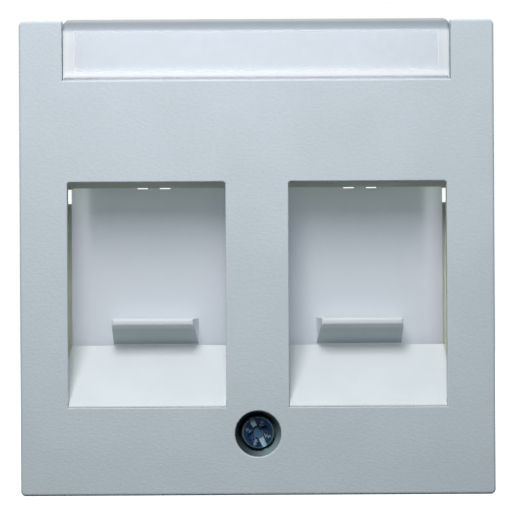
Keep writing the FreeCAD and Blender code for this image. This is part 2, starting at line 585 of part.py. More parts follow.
def make_fixing_screw():
    """The screw: turned head and shank, with a slot and a cross recess in the head."""
    body = new_body("fixing_screw")
    body.setExpression("Placement.Base.z", bound(SCREW_LEVEL))
    head_top = f"({HEAD_SEAT} + head_height)"
    sketch = new_sketch(body, "screw_profile", "YZ_Plane", "0")
    outline(sketch, ((f"-{head_top}", "0"), (f"-{head_top}", "head_diameter / 2"),
                     (f"-{HEAD_SEAT}", "head_diameter / 2"), (f"-{HEAD_SEAT}", "shank_diameter / 2"),
                     ("0", "shank_diameter / 2"), ("0", "thread_diameter / 2"),
                     ("thread_length - tip_bevel", "thread_diameter / 2"),
                     ("thread_length", "thread_diameter / 2 - tip_bevel"), ("thread_length", "0")))
    turned = body.newObject("PartDesign::Revolution", "screw_turned")
    turned.Profile = sketch
    turned.ReferenceAxis = (sketch, ["H_Axis"])
    turned.Angle = 360
    front = -value(head_top)
    round_edges(body, "screw_head_rim", "head_round", lambda edge: lies_at(edge, 1, front))

    recesses = (
        ("screw_slot", "slot_width", "head_diameter + cut_over", "slot_depth", 0),
        ("screw_cross_along", "cross_width", "cross_length", "cross_depth", 0),
        ("screw_cross_over", "cross_width", "cross_length", "cross_depth", 90),
    )
    for name, width, length, depth, turn in recesses:
        sketch = new_sketch(body, name, "XZ_Plane", head_top)
        sketch.setExpression("AttachmentOffset.Rotation.Angle", bound("drive_angle") + f" + {turn}")
        rectangle(sketch, f"-({width}) / 2", f"({width}) / 2", f"-({length}) / 2", f"({length}) / 2")
        pocket(body, sketch, depth)
    return body


bodies = [make_face_plate(), make_shutter_carrier()]
for name, side in SIDES:
    bodies.append(make_shutter(name, side))
bodies.append(make_label_window())
bodies.append(make_label_strip())
bodies.append(make_fixing_screw())
doc.recompute()

for item in doc.Objects:
    if "Invalid" in item.State or "Error" in item.State:
        raise RuntimeError(f"{item.Label} failed: {item.State}")
for body in bodies:
    if body.Shape.isNull() or not body.Shape.isValid() or len(body.Shape.Solids) != 1:
        raise RuntimeError(f"{body.Label} isn't one valid solid")

os.makedirs("parts", exist_ok=True)
for body in bodies:
    body.Shape.exportStep(os.path.join("parts", body.Label + ".step"))
    print(body.Label, round(body.Shape.Volume, 2), "mm3")
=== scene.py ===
"""Wall plate dresser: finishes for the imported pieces, a screw with thread and drive, and a plain studio."""

import math

import bpy
import numpy as np
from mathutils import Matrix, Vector


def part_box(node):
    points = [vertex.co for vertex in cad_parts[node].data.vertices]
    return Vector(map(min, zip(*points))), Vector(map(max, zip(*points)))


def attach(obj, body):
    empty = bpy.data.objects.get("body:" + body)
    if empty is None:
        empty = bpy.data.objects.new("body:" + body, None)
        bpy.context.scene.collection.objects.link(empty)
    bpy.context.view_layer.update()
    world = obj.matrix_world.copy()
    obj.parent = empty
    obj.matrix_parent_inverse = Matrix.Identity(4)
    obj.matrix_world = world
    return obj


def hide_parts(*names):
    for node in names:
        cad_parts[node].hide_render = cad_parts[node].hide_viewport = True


bl_info = {
    "name": "Wall Plate Dresser",
    "version": (1, 0, 0),
    "blender": (4, 5, 0),
    "location": "3D View > Sidebar > Wall Plate",
    "description": "Finishes, a threaded screw and a studio for a wall plate",
    "category": "Object",
}

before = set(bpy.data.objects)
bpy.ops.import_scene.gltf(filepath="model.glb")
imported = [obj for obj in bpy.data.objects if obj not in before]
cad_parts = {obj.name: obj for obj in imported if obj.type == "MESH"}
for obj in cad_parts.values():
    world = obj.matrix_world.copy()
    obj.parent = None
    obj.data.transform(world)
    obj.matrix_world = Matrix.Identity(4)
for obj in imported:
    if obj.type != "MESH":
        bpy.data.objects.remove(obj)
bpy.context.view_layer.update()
MM = 0.001

PLATE_LOW, PLATE_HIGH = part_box("face_plate")
SCREW_LOW, SCREW_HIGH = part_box("fixing_screw")
WINDOW_LOW, WINDOW_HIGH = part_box("label_window")
STRIP_LOW, STRIP_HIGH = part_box("label_strip")
SHUTTER_LOW, SHUTTER_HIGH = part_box("right_shutter")
WINDOW_WALL = 0.9 * MM
WINDOW_HALF_WIDTH = STRIP_HIGH[0] + WINDOW_WALL
LEAF_THICKNESS = 1.2 * MM
LEAF_FRONT = SHUTTER_HIGH[1] - LEAF_THICKNESS
LEAF_MIDDLE = (SHUTTER_LOW[0] + SHUTTER_HIGH[0]) / 2
HEAD_RADIUS = (SCREW_HIGH[0] - SCREW_LOW[0]) / 2

# Spans of noise values that a finish spreads over its own range.
NOISE_WIDE = (0.2, 0.8)
NOISE_MEDIUM = (0.25, 0.75)
NOISE_MIDDLE = (0.3, 0.7)
NOISE_NARROW = (0.35, 0.65)
RUB_NOISE = (0.35, 0.75)
RUB_PATCH_NOISE = (0.3, 0.75)
HAZE_NOISE = (0.35, 0.7)
FIBRE_NOISE = (0.4, 0.7)
STAIN_NOISE = (0.2, 0.6)

# Shares of the screw hole's width, counted from its axis, over which its painted shade and left shadow fade.
HOLE_FINISH_FADE = (0.6, 0.52)
HOLE_SHADOW_FADE = (-0.35, 0.45)

# Upright part of a surface's normal over which the surface comes to face down.
FACING_DOWN = (-0.4, -0.8)

# Rearward part of a direction over which the light of the backdrop sets in.
FACING_BACKDROP = (0.2, 0.6)

# Spacing of the rings of a wave texture whose scale is 1.
WAVE_SPACING = 0.314


def amount(name, description, value, **more):
    """A number property."""
    return bpy.props.FloatProperty(name=name, description=description, default=value, **more)


def amounts(name, description, values, **more):
    """A property of several numbers."""
    return bpy.props.FloatVectorProperty(
        name=name, description=description, default=values, size=len(values), **more
    )


def length(name, description, millimetres):
    """A length property, given in millimetres and kept in metres."""
    return amount(name, description, millimetres * MM, unit="LENGTH", precision=5)


def share(name, description, value):
    """A property between none and all."""
    return amount(name, description, value, subtype="FACTOR", min=0.0, max=1.0)


def angle(name, description, degrees):
    """An angle property, given in degrees and kept in radians."""
    return amount(name, description, math.radians(degrees), subtype="ANGLE")


def tint(name, description, colour):
    """A colour property in linear red, green and blue."""
    return amounts(name, description, colour, subtype="COLOR", min=0.0, max=1.0)


def span(name, description, low, high):
    """A property with a lowest and a highest share."""
    return amounts(name, description, (low, high), min=0.0, max=1.0)


class PlatePaintSettings(bpy.types.PropertyGroup):
    """Finish of the face plate: fine-grained paint in front, bare moulding inside."""

    paint: tint("Paint", "Pale blue-grey paint", (0.61, 0.69, 0.75))
    paint_shade: tint("Paint shade", "Paint in the valleys of the grain", (0.56, 0.635, 0.69))
    bare: tint("Bare moulding", "Unpainted plastic inside", (0.57, 0.59, 0.48))
    bare_shade: tint("Bare shade", "Flow marks in the unpainted plastic", (0.52, 0.54, 0.44))
    # The sill colour is painted bounce light: the port walls beside the ramps are made paler, as the white
    # ramps light them.
    sill_bounce_light: tint("Sill", "Paler port walls beside the ramps", (0.78, 0.83, 0.85))
    sill_drop: length("Sill drop", "From a leaf's foot to below the ports", 6.3)
    # The hole colour is a painted shade: the plastic round the screw is darkened, as the deep hole lies in
    # shade.
    hole: tint("Hole", "Unpainted plastic round the screw", (0.28, 0.39, 0.41))
    # Hole shade is a painted shadow on the left of the screw hole, the side away from the light.
    hole_shade: tint("Hole shade", "Grime on the left of the screw hole", (0.05, 0.07, 0.08))
    hole_width: length("Hole width", "Diameter of the screw hole's mouth", 5.4)
    grain: length("Grain", "Height of a grain of the paint", 0.29)
    grain_length: length("Grain length", "Length of a grain across the plate", 0.48)
    grain_relief: length("Grain relief", "How far the grain stands out", 0.052)
    grain_share: share("Grain share", "Share of its relief that shows", 0.55)
    grain_detail: share("Grain detail", "Strength of the finer grains", 0.6)
    roughness: span("Roughness", "Smoothest and dullest grains", 0.50, 0.64)
    specular: share("Specular", "Strength of its reflections", 0.35)
    drift: length("Drift", "Width of the slow colour changes", 9.0)
    fade_start: length("Fade start", "Depth where the paint begins to thin out", 0.05)
    fade_end: length("Fade end", "Depth where the moulding is bare", 0.4)
    skirt_paint: length("Skirt paint", "Depth of paint on the skirt's outer side", 0.25)
    recess_margin: length("Recess margin", "Reach of the paint past the label recess", 0.4)


class MouldingSettings(bpy.types.PropertyGroup):
    """Finish of the carrier and of the two shutters."""

    carrier: tint("Carrier", "White plastic of the carrier", (0.755, 0.81, 0.835))
    carrier_shade: tint("Carrier shade", "Flow marks in the carrier", (0.72, 0.78, 0.808))
    carrier_roughness: span("Carrier roughness", "Smoothest and dullest", 0.36, 0.46)
    # The channel colour is a painted shade in the narrow gaps beside the leaves.
    channel: tint("Channel", "Dulled plastic beside a leaf", (0.56, 0.60, 0.50))
    channel_shade_width: length("Channel width", "From a leaf's edge to the end of the dulled plastic", 1.0)
    leaf: tint("Leaf", "Lilac-white plastic of the leaves", (0.685, 0.715, 0.76))
    leaf_shade: tint("Leaf shade", "Rub marks on the leaves", (0.67, 0.70, 0.745))
    leaf_roughness: span("Leaf roughness", "Smoothest and dullest", 0.42, 0.52)
    # Leaf polish is painted bounce light: the leaf is paler above its grip, as the grip's top lights it.
    leaf_bounce_light: tint("Leaf polish", "Leaf polished above the grip", (0.76, 0.80, 0.835))
    bounce_rise: length("Polish rise", "From a leaf's foot to the top of the polish", 8.0)
    bounce_foot: length("Polish foot", "From a leaf's foot to the brightest polish", 4.6)
    bounce_reach: length("Polish reach", "From a leaf's middle to the end of the polish", 8.5)
    flow: length("Flow", "Width of the flow marks", 6.0)
    flow_squeeze: share("Flow squeeze", "Width of flow marks beside their height", 0.4)
    texture: length("Texture", "Width of the moulding texture", 0.12)
    texture_height: length("Texture height", "Height of the moulding texture", 0.006)
    texture_share: share("Texture share", "Share of its height that shows", 0.4)
    rub_width: length("Rub width", "Width of a rub mark across the slide", 0.6)
    rub_length: length("Rub length", "Length of a rub mark along the slide", 9.0)
    glow: share("Glow", "Share of light through a thin leaf", 0.48)
    glow_tint: tint("Glow tint", "Colour of light through a leaf", (0.98, 0.97, 1.0))
    edge_tint: tint("Edge tint", "Colour of light through a leaf's outer edge", (1.0, 0.96, 0.98))
    edge_glow: share("Edge glow", "Share of light through a leaf's outer edge", 0.9)
    edge_start: length("Edge start", "From the outer edge to where the glow begins", 3.3)
    edge_end: length("Edge end", "From the outer edge to the full glow", 1.0)
    frame_glow: share("Frame glow", "Share of light through the carrier's rear frame", 0.8)
    frame_middle: length("Frame middle", "From a leaf's back to the middle of the rear frame", 0.7)
    top_tint: tint("Top tint", "Colour of light through a leaf's top", (0.97, 0.95, 0.90))
    top_start: length("Top start", "From a leaf's top to where its light warms", 7.0)
    top_end: length("Top end", "From a leaf's top to its warmest light", 2.5)
    # The grips' colour, lighter than the leaves', is painted light that lifts their shaded side faces.
    grip: tint("Grip", "Plastic of the grips", (0.82, 0.87, 0.91))
    # Grip shade is a painted shade on the grip's underside, which faces down away from the light.
    grip_shade: tint("Grip shade", "Plastic greyed under the grip", (0.49, 0.55, 0.59))
    # Grip nose is a painted highlight on the grip's nose, which catches the light from above.
    grip_nose_highlight: tint("Grip nose", "Plastic polished at the grip's nose", (0.74, 0.80, 0.845))
    grip_foot: length("Grip foot", "From a leaf's foot to the foot of the grip", 1.25)
    grip_rise: amount("Grip rise", "Rise of the underside for each length forwards", 0.5)
    grip_shade_depth: length("Grip wear", "Depth of the greyed plastic", 0.3)
    shade_fade: length("Wear fade", "From the grip's nose to its fully grey underside", 1.4)
    nose_shade: share("Nose wear", "How grey the grip's underside is at its nose", 0.2)


class LabelSettings(bpy.types.PropertyGroup):
    """Finish of the label window and of the paper strip."""

    window: tint("Window", "Clear plastic of the window", (0.99, 0.995, 1.0))
    window_roughness: span("Window roughness", "Smoothest and dullest", 0.4, 0.5)
    gloss_roughness: share("Gloss roughness", "Roughness of the window's gloss", 0.06)
    gloss_index: amount("Gloss index", "Refractive index for the gloss", 1.3)
    milk: tint("Milk", "Light that the plastic scatters", (0.88, 0.96, 1.0))
    pane_milk: share("Pane milk", "Share of light that the pane scatters", 0.06)
    haze: length("Haze", "Width of the haze marks on the window", 2.5)
    haze_milk: share("Haze milk", "Share of light that the haze marks scatter", 0.03)
    skin: length("Skin", "Depth of the window's rounded front edges", 0.6)
    skin_end: length("Skin end", "Depth where the finish of these edges ends", 0.9)
    # Rim, inner rim and foot are a painted highlight: the side and lower edges are opaque and pale, standing
    # in for light that the clear edges refract.
    rim: tint("Rim", "Light that the side and lower edges scatter", (0.68, 0.73, 0.755))
    rim_inner: tint("Inner rim", "Light that the side edges scatter inwards", (0.625, 0.673, 0.72))
    foot: tint("Foot", "Light that the lower edge scatters", (0.80, 0.82, 0.86))
    rim_milk: share("Rim milk", "Share of light that the side and lower edges scatter", 0.95)
    rim_width: length("Rim width", "Width of the side edges", 1.62)
    foot_width: length("Foot width", "Width of the lower edge", 0.65)
    rim_blend: length("Rim blend", "Width over which an edge passes into the pane", 0.5)
    edge_lean: amounts(
        "Edge lean", "Lean of the side and lower edges to the light", (0.0, -2.5, 1.2), subtype="XYZ"
    )
    # Crest colours are painted light: the upper edge is greyed as a painted shade, bluer at its foot, and
    # paler in its rounding as a painted highlight.
    crest: tint("Crest", "Greyer light in the upper edge", (0.31, 0.365, 0.41))
    crest_foot: tint("Crest foot", "Bluer light at the foot of the upper edge", (0.56, 0.62, 0.70))
    crest_top: tint("Crest top", "Paler light in the upper rounding", (0.43, 0.43, 0.45))
    crest_milk: share("Crest milk", "Share of light that the upper edge scatters", 0.92)
    crest_width: length("Crest width", "From the window's top to the foot of its grey edge", 1.7)
    crest_blend: length("Crest blend", "Width over which it passes into the pane", 0.45)
    crest_round: length("Crest round", "From the window's top to its palest light", 0.2)
    paper: tint("Paper", "White of the paper", (0.61, 0.645, 0.688))
    fibre: tint("Fibre", "Darker fibres in the paper", (0.59, 0.625, 0.668))
    # Paper foot light is painted light: the strip is made paler along its foot.
    paper_foot_light: tint("Paper foot", "Paler paper along the strip's foot", (0.74, 0.78, 0.82))
    foot_light_width: length("Pale width", "Width of that paler band", 1.4)
    paper_roughness: span("Paper roughness", "Smoothest and dullest", 0.80, 0.92)
    paper_specular: share("Paper specular", "Strength of its reflections", 0.2)
    fibre_width: length("Fibre width", "Width of a paper fibre", 0.05)
    fibre_length: length("Fibre length", "Length of a paper fibre", 0.6)
    fibre_height: length("Fibre height", "Height of a paper fibre", 0.004)
    fibre_share: share("Fibre share", "Share of their height that shows", 0.5)
    cloud: length("Cloud", "Width of the paper's clouds", 2.4)


class ScrewSettings(bpy.types.PropertyGroup):
    """Shape and finish of the fixing screw."""

    head_height: length("Head height", "From the top of the head to its underside", 1.6)
    rim_round: length("Rim round", "Radius at the rim of the head", 0.25)
    shank: length("Shank", "Diameter of the plain shank", 2.1)
    thread_length: length("Thread length", "From the tip to the start of the thread", 10.9)
    thread: length("Thread", "Diameter over the thread", 2.5)
    pitch: length("Pitch", "Advance of one turn of the thread", 0.45)
    thread_depth: length("Thread depth", "From crest to root", 0.26)
    tip_bevel: length("Tip bevel", "Bevel at the tip", 0.4)
    slot_width: length("Slot width", "Width of the slot", 0.7)
    slot_depth: length("Slot depth", "Depth of the slot", 0.7)
    cross_reach: length("Cross reach", "Length of the cross from end to end", 2.5)
    cross_width: length("Cross width", "Width of the wings of the cross", 0.85)
    cross_depth: length("Cross depth", "Depth of the cross at its middle", 1.0)
    wing_rise: length("Wing rise", "Rise of a wing's floor to its end", 0.5)
    socket: length("Socket", "Diameter of the socket in the cross", 1.4)
    tick_start: length("Tick start", "From the middle to the inner end of the notches", 0.72)
    tick_end: length("Tick end", "From the middle to the outer end of the notches", 1.72)
    tick_width: length("Tick width", "Width of the notches at their inner end", 0.95)
    tick_depth: length("Tick depth", "Depth of the notches at their inner end", 0.5)
    tick_jag: length("Tick jag", "Spacing of the jags in the notches", 0.32)
    wall_slope: length("Wall slope", "Width over which a wall of the drive falls", 0.07)
    drive_angle: angle("Drive angle", "Turn of the slot from upright, to the left", 27.4)
    steel: tint("Steel", "Blue zinc plating", (0.15, 0.32, 0.48))
    # Tarnish is a painted dark reflection on the head and painted shade in the thread's roots, mottled by
    # stains.
    tarnish: tint("Tarnish", "Dark plating on the head and the roots", (0.012, 0.042, 0.10))
    wing: tint("Wing", "Violet plating in the wings of the cross", (0.05, 0.085, 0.20))
    # Burnish is partly the paler plating of the shank and thread, and partly painted light: glints in the
    # notches, a reflection on the slot's floor and a highlight on the rim.
    burnish: tint("Burnish", "Plating rubbed bright by the driver", (0.74, 0.92, 1.0))
    shank_burnish: share("Shank burnish", "How bright the shank and the thread are", 0.4)
    metal: share("Metal", "Share that mirrors like bare metal", 0.25)
    specular: share("Specular", "Strength of the other reflections", 0.1)
    roughness: span("Roughness", "Smoothest and dullest plating", 0.28, 0.40)
    burnish_roughness: share("Burnish roughness", "Roughness that rubbing adds", 0.25)
    turning: length("Turning", "Spacing of the turning marks", 0.09)
    turning_height: length("Turning height", "Height of the turning marks", 0.004)
    turning_share: share("Turning share", "Share of their height that shows", 0.3)
    turning_wobble: amount("Turning wobble", "How far the turning marks wander", 0.6)
    stain: length("Stain", "Width of the stains in the plating", 0.4)
    stain_share: span("Stain share", "Least and most tarnish in the stains", 0.85, 1.0)


class StudioSettings(bpy.types.PropertyGroup):
    """Floor, light and camera."""

    distance: length("Distance", "From the camera to the plate's front", 125.0)
    camera_drop: length("Camera drop", "Camera below the plate's middle", 6.5)
    camera_clip: length("Camera clip", "Nearest distance that the camera sees", 1.0)
    lens: amount("Lens", "Focal length in millimetres on a 36 mm sensor", 75.6)
    shift: amount("Shift", "Rise of the frame, as a share of its width", 0.1093)
    roll: angle("Roll", "Roll of the camera", 0.3)
    floor_size: length("Floor size", "Side of the floor", 900.0)
    floor: tint("Floor", "Pale floor", (0.80, 0.81, 0.82))
    floor_paler: tint("Paler floor", "Paler patches of the floor", (0.824, 0.8343, 0.8446))
    floor_mottle: length("Floor mottle", "Width of the floor's patches", 40.0)
    floor_roughness: share("Floor roughness", "Roughness of the floor", 0.9)
    floor_specular: share("Floor specular", "Strength of its reflections", 0.1)
    floor_glow: amount("Floor glow", "Light that the floor gives off", 0.72)
    ambient: tint("Ambient", "Tint of the soft light", (0.80, 0.96, 1.0))
    sky: amount("Sky", "Soft light from above", 0.65)
    horizon: amount("Horizon", "Soft light from the sides", 0.02)
    ground: amount("Ground", "Soft light from below", 0.01)
    backdrop: amount("Backdrop", "Soft light from behind the plate", 0.92)
    key_power: amount("Key power", "Watts of the key light", 0.208)
    key_tint: tint("Key tint", "Tint of the key light", (1.0, 0.965, 0.96))
    key_width: length("Key width", "Width of the key light", 50.0)
    key_height: length("Key height", "Height of the key light", 90.0)
    key_side: length("Key side", "Key light right of the plate's middle", -16.5)
    key_front: length("Key front", "Key light in front of the plate", 118.0)
    key_rise: length("Key rise", "Key light above the plate's middle", 87.0)


def new_finish(name):
    """A new material, its node tree and its Principled shader."""
    material = bpy.data.materials.new(name)
    material.use_nodes = True
    tree = material.node_tree
    return material, tree, tree.nodes["Principled BSDF"]


def set_inputs(tree, node, inputs):
    """Sets a node's inputs, by name or number, to values or links them to sockets."""
    for key, value in inputs.items():
        if isinstance(value, bpy.types.NodeSocket):
            tree.links.new(value, node.inputs[key])
        else:
            node.inputs[key].default_value = value


def output_of(tree, kind, inputs=None, output=0, **settings):
    """An output of a new shader node, with its settings and inputs set."""
    node = tree.nodes.new("ShaderNode" + kind)
    for key, value in settings.items():
        setattr(node, key, value)
    set_inputs(tree, node, inputs or {})
    return node.outputs[output]


def opaque(colour):
    """A colour with full alpha; a colour socket stays as it is."""
    if isinstance(colour, bpy.types.NodeSocket):
        return colour
    return (*colour, 1.0)


def position(tree, middle=(0.0, 0.0, 0.0), stretch=(1.0, 1.0, 1.0)):
    """Object coordinates, stretched about a point."""
    here = output_of(tree, "TexCoord", output="Object")
    centred = output_of(tree, "Mapping", {"Vector": here, "Location": tuple(-part for part in middle)})
    return output_of(tree, "Mapping", {"Vector": centred, "Scale": stretch})


def axes_of(tree, vector):
    """The X, Y and Z parts of a place or of a direction."""
    node = tree.nodes.new("ShaderNodeSeparateXYZ")
    tree.links.new(vector, node.inputs[0])
    return tuple(node.outputs)


def grain(tree, where, width, detail=2.0, roughness=0.5):
    """Noise whose cells are a given width; a value between 0 and 1."""
    inputs = {"Vector": where, "Scale": 1.0 / width, "Detail": detail, "Roughness": roughness}
    return output_of(tree, "TexNoise", inputs, "Fac")


def spread(tree, value, low, high, new_low=0.0, new_high=1.0):
    """A value between low and high, spread smoothly over a new range."""
    inputs = {0: value, 1: low, 2: high, 3: new_low, 4: new_high}
    return output_of(tree, "MapRange", inputs, interpolation_type="SMOOTHSTEP")


def blend(tree, factor, first, second):
    """A colour between two colours or colour sockets."""
    inputs = {0: factor, 6: opaque(first), 7: opaque(second)}
    return output_of(tree, "Mix", inputs, 2, data_type="RGBA")


def combine(tree, operation, first, second):
    """Two values put together by a math operation."""
    return output_of(tree, "Math", {0: first, 1: second}, operation=operation)


def times(tree, first, second):
    """The product of two values."""
    return combine(tree, "MULTIPLY", first, second)


def rest_of(tree, value):
    """What is left of 1 after a value."""
    return combine(tree, "SUBTRACT", 1.0, value)


def unsigned(tree, value):
    """A value without its sign."""
    return output_of(tree, "Math", {0: value}, operation="ABSOLUTE")


def bump(tree, value, height, strength):
    """A normal from a height value; height is in metres."""
    return output_of(tree, "Bump", {"Height": value, "Distance": height, "Strength": strength})


def mix_shaders(tree, factor, first, second):
    """A shader between two shaders."""
    return output_of(tree, "MixShader", {0: factor, 1: first, 2: second})


def set_surface(tree, shader):
    """Makes a shader the material's surface."""
    tree.links.new(shader, tree.nodes["Material Output"].inputs["Surface"])


def let_through(tree, shader, factor, colour):
    """Mixes the shader with light that passes through, by a factor; colour may be a socket."""
    through = output_of(tree, "BsdfTranslucent", {"Color": opaque(colour)})
    set_surface(tree, mix_shaders(tree, factor, shader.outputs[0], through))


def give(node_name, material):
    """Puts a finish on a CAD node."""
    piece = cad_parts[node_name]
    piece.data.materials.clear()
    piece.data.materials.append(material)


def bare_colour(tree, y, z, slow, look):
    """Colour of the bare plastic: paler beside the ramps (painted bounce light), darker round the screw
    (painted shade) and darker still on its left (painted shadow).
    """
    bare = blend(tree, spread(tree, slow, *NOISE_NARROW), look.bare_shade, look.bare)
    leaf_foot = SHUTTER_LOW[2]
    sill_foot = leaf_foot - look.sill_drop
    # Painted bounce light on the port walls beside the ramps.
    beside_ramp = times(
        tree,
        spread(tree, z, leaf_foot + look.recess_margin, leaf_foot - look.recess_margin),
        spread(tree, z, sill_foot - look.recess_margin, sill_foot),
    )
    before_leaf = spread(tree, y, LEAF_FRONT, SHUTTER_LOW[1])
    bare = blend(tree, times(tree, beside_ramp, before_leaf), bare, look.sill_bounce_light)
    aside, _, above = axes_of(tree, position(tree, middle=screw_middle()))
    squares = combine(tree, "ADD", times(tree, aside, aside), times(tree, above, above))
    from_axis = combine(tree, "POWER", squares, 0.5)
    # Painted shade in the screw hole, darker still on its left as a painted shadow.
    in_hole = spread(tree, from_axis, *(part * look.hole_width for part in HOLE_FINISH_FADE))
    lit_side = spread(tree, aside, *(part * look.hole_width for part in HOLE_SHADOW_FADE))
    return blend(tree, in_hole, bare, blend(tree, lit_side, look.hole_shade, look.hole))


def bareness(tree, x, y, z, look):
    """0 where the plate is painted (front, outer skirt and label recess) and 1 inside."""
    front = PLATE_LOW[1]
    behind_front = spread(tree, y, front + look.fade_start, front + look.fade_end)
    skirt = [
        spread(tree, unsigned(tree, part), edge - 2 * look.skirt_paint, edge - look.skirt_paint)
        for part, edge in ((x, PLATE_HIGH[0]), (z, PLATE_HIGH[2]))
    ]
    recess = times(
        tree,
        spread(tree, z, WINDOW_LOW[2] - look.recess_margin, WINDOW_LOW[2]),
        spread(tree, y, STRIP_HIGH[1] + look.recess_margin, STRIP_HIGH[1]),
    )
    painted = combine(tree, "MAXIMUM", combine(tree, "MAXIMUM", *skirt), recess)
    return times(tree, behind_front, rest_of(tree, painted))


def plate_finish(look):
    """Grained paint on the front and the outer skirt that thins out over the port walls."""
    material, tree, shader = new_finish("grained_plate_paint")
    where = position(tree)
    x, y, z = axes_of(tree, where)
    stretched = position(tree, stretch=(look.grain / look.grain_length, 1.0, 1.0))
    fine = grain(tree, stretched, look.grain, detail=3.0, roughness=look.grain_detail)
    slow = grain(tree, where, look.drift)
    mottle = combine(tree, "ADD", spread(tree, fine, *NOISE_MIDDLE), spread(tree, slow, *NOISE_MIDDLE))
    painted = blend(tree, times(tree, mottle, 0.5), look.paint_shade, look.paint)
    bare = bare_colour(tree, y, z, slow, look)
    inputs = {
        "Base Color": blend(tree, bareness(tree, x, y, z, look), painted, bare),
        "Roughness": spread(tree, fine, *NOISE_WIDE, *look.roughness),
        "Specular IOR Level": look.specular,
        "Normal": bump(tree, fine, look.grain_relief, look.grain_share),
    }
    set_inputs(tree, shader, inputs)
    return material


def carrier_finish(look):
    """White moulding with flow marks and a fine texture, with a painted shade beside the leaves; its rear
    frame glows.
    """
    material, tree, shader = new_finish("white_carrier_plastic")
    where = position(tree)
    x, y, _ = axes_of(tree, where)
    across = unsigned(tree, x)
    flow = grain(tree, position(tree, stretch=(1.0, 1.0, look.flow_squeeze)), look.flow, detail=3.0)
    fine = grain(tree, where, look.texture)
    edge, rear, _ = SHUTTER_HIGH
    past_leaf = spread(tree, across, edge - look.texture / 2, edge + look.texture / 2)
    near_leaf = spread(tree, across, edge + look.channel_shade_width, edge + look.channel_shade_width / 2)
    before_rear = spread(tree, y, rear + 2 * look.texture, rear + look.texture)
    # Painted shade in the narrow channel beside each leaf.
    channel = times(tree, times(tree, past_leaf, near_leaf), before_rear)
    white = blend(tree, spread(tree, flow, *NOISE_MIDDLE), look.carrier_shade, look.carrier)
    inputs = {
        "Base Color": blend(tree, channel, white, look.channel),
        "Roughness": spread(tree, fine, *NOISE_WIDE, *look.carrier_roughness),
        "Normal": bump(tree, fine, look.texture_height, look.texture_share),
    }
    set_inputs(tree, shader, inputs)
    thin = spread(tree, y, rear - look.texture / 2, rear + look.texture / 2, 0.0, look.frame_glow)
    middle = rear + look.frame_middle
    dull = times(tree, past_leaf, spread(tree, y, middle, middle - look.texture))
    let_through(tree, shader, times(tree, thin, rest_of(tree, dull)), look.glow_tint)
    return material


def grip_underside(tree, y, z, look):
    """How much painted shade the grip's underside gets at a place: most under its foot, less towards its
    nose.
    """
    forward = times(tree, combine(tree, "SUBTRACT", LEAF_FRONT, y), look.grip_rise)
    underside = combine(tree, "ADD", forward, SHUTTER_LOW[2] + look.grip_foot)
    above = combine(tree, "SUBTRACT", z, underside)
    nose = SHUTTER_LOW[1]
    return times(
        tree,
        spread(tree, above, look.grip_shade_depth, look.grip_shade_depth / 2),
        spread(tree, y, nose, nose + look.shade_fade, look.nose_shade, 1.0),
    )


def leaf_colour(tree, across, z, marks, look):
    """Colour of a leaf: plain with rub marks, and paler above its grip with painted bounce light."""
    foot = SHUTTER_LOW[2]
    off_middle = unsigned(tree, combine(tree, "SUBTRACT", across, LEAF_MIDDLE))
    # Painted bounce light above the grip.
    brightened = times(
        tree,
        spread(tree, z, foot + look.bounce_rise, foot + look.bounce_foot),
        spread(tree, off_middle, look.bounce_reach, look.bounce_reach / 2),
    )
    return blend(tree, brightened, blend(tree, marks, look.leaf, look.leaf_shade), look.leaf_bounce_light)


def shutter_finish(look):
    """Lilac-white moulding with faint rub marks along the slide, painted shade under the grips, painted
    highlights on their noses and painted bounce light above them; its thin leaf lets some light through.
    """
    material, tree, shader = new_finish("sliding_shutter_plastic")
    where = position(tree)
    x, y, z = axes_of(tree, where)
    across = unsigned(tree, x)
    stretched = position(tree, stretch=(1.0, 1.0, look.rub_width / look.rub_length))
    rubs = grain(tree, stretched, look.rub_width)
    fine = grain(tree, where, look.texture)
    flow = grain(tree, where, look.flow)
    marks = times(tree, spread(tree, rubs, *RUB_NOISE), spread(tree, flow, *RUB_PATCH_NOISE))
    in_leaf = spread(tree, y, LEAF_FRONT - look.texture, LEAF_FRONT - look.texture / 2)
    # Painted shade under the grip.
    shaded_underside = times(tree, grip_underside(tree, y, z, look), rest_of(tree, in_leaf))
    nose = SHUTTER_LOW[1]
    # Painted highlight on the grip's nose.
    at_nose = spread(tree, y, nose + 2 * look.grip_shade_depth, nose + look.grip_shade_depth)
    # Painted light: the grips are lighter than the leaves.
    colour = blend(tree, in_leaf, look.grip, leaf_colour(tree, across, z, marks, look))
    colour = blend(tree, at_nose, colour, look.grip_nose_highlight)
    inputs = {
        "Base Color": blend(tree, shaded_underside, colour, look.grip_shade),
        "Roughness": spread(tree, rubs, *NOISE_MEDIUM, *look.leaf_roughness),
        "Normal": bump(tree, fine, look.texture_height, look.texture_share),
    }
    set_inputs(tree, shader, inputs)
    outer, _, top = SHUTTER_HIGH
    at_edge = spread(tree, across, outer - look.edge_start, outer - look.edge_end)
    at_top = spread(tree, z, top - look.top_start, top - look.top_end)
    thin = times(tree, in_leaf, spread(tree, at_edge, 0.0, 1.0, look.glow, look.edge_glow))
    glow = blend(tree, at_top, blend(tree, at_edge, look.glow_tint, look.edge_tint), look.top_tint)
    let_through(tree, shader, thin, glow)
    return material


